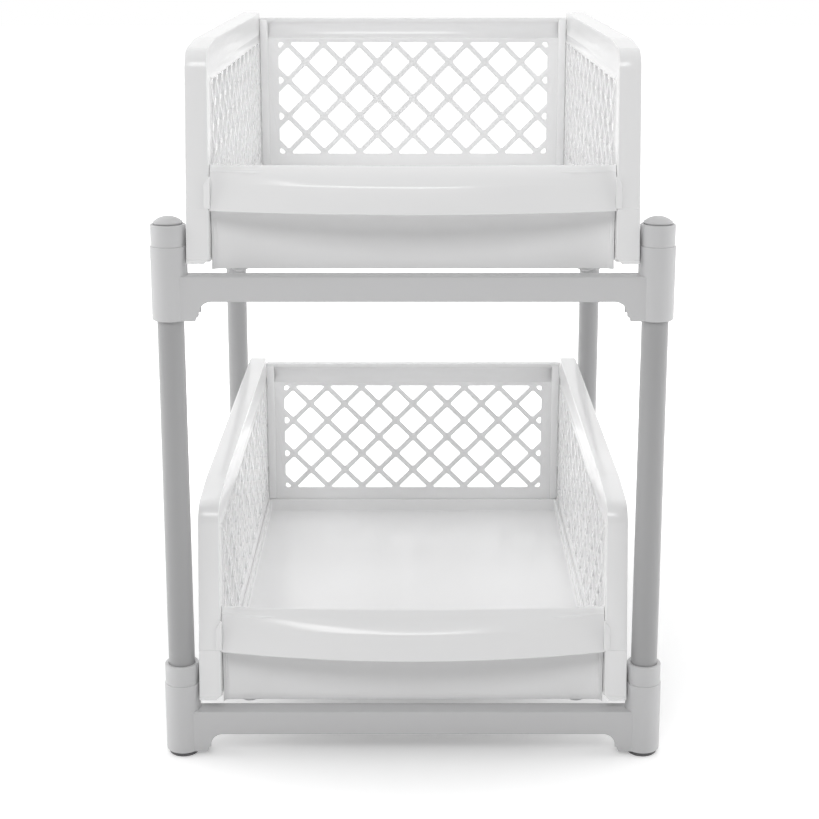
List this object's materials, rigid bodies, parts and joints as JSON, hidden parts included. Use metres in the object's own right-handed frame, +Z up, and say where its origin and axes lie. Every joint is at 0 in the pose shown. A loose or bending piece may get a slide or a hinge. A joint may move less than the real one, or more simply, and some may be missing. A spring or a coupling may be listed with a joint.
{
  "type": "under sink organizer",
  "caption": "Two-tier pull-out organizer: a post stand with crossbars and guide rails carrying sliding lattice drawers with bowed handle fronts.",
  "frame": {"origin": "middle of the footprint, at floor level", "axes": "+X to the right, +Y to the back, +Z up; the drawers pull out along -Y"},
  "size_m": [0.2486, 0.324, 0.354],
  "materials": {
    "frame_grey": "satin moulded grey plastic",
    "tube_grey": "grey painted steel tube",
    "cap_grey": "light grey moulded plastic",
    "foot_rubber": "dark grey rubber",
    "drawer_white": "glossy white moulded plastic"
  },
  "bodies": {
    "stand": {"foot_front_left": "foot_rubber", "post_front_left": "tube_grey", "post_cap_front_left": "cap_grey", "foot_front_right": "foot_rubber", "post_front_right": "tube_grey", "post_cap_front_right": "cap_grey", "foot_rear_left": "foot_rubber", "post_rear_left": "tube_grey", "post_cap_rear_left": "cap_grey", "foot_rear_right": "foot_rubber", "post_rear_right": "tube_grey", "post_cap_rear_right": "cap_grey", "lower_front_crossbar": "frame_grey", "lower_rear_crossbar": "frame_grey", "lower_left_guide_rail": "frame_grey", "lower_right_guide_rail": "frame_grey", "upper_front_crossbar": "frame_grey", "upper_rear_crossbar": "frame_grey", "upper_left_guide_rail": "frame_grey", "upper_right_guide_rail": "frame_grey"},
    "lower_drawer": {"lower_tray": "drawer_white", "lower_left_side": "drawer_white", "lower_right_side": "drawer_white", "lower_back_panel": "drawer_white", "lower_handle_front": "drawer_white"},
    "upper_drawer": {"upper_tray": "drawer_white", "upper_left_side": "drawer_white", "upper_right_side": "drawer_white", "upper_back_panel": "drawer_white", "upper_handle_front": "drawer_white"}
  },
  "joints": [
    {"name": "lower_drawer_slide", "type": "slide", "parent": "stand", "child": "lower_drawer", "axis": [0, -1, 0], "range_m": [0, 0.2]},
    {"name": "upper_drawer_slide", "type": "slide", "parent": "stand", "child": "upper_drawer", "axis": [0, -1, 0], "range_m": [0, 0.2]}
  ]
}
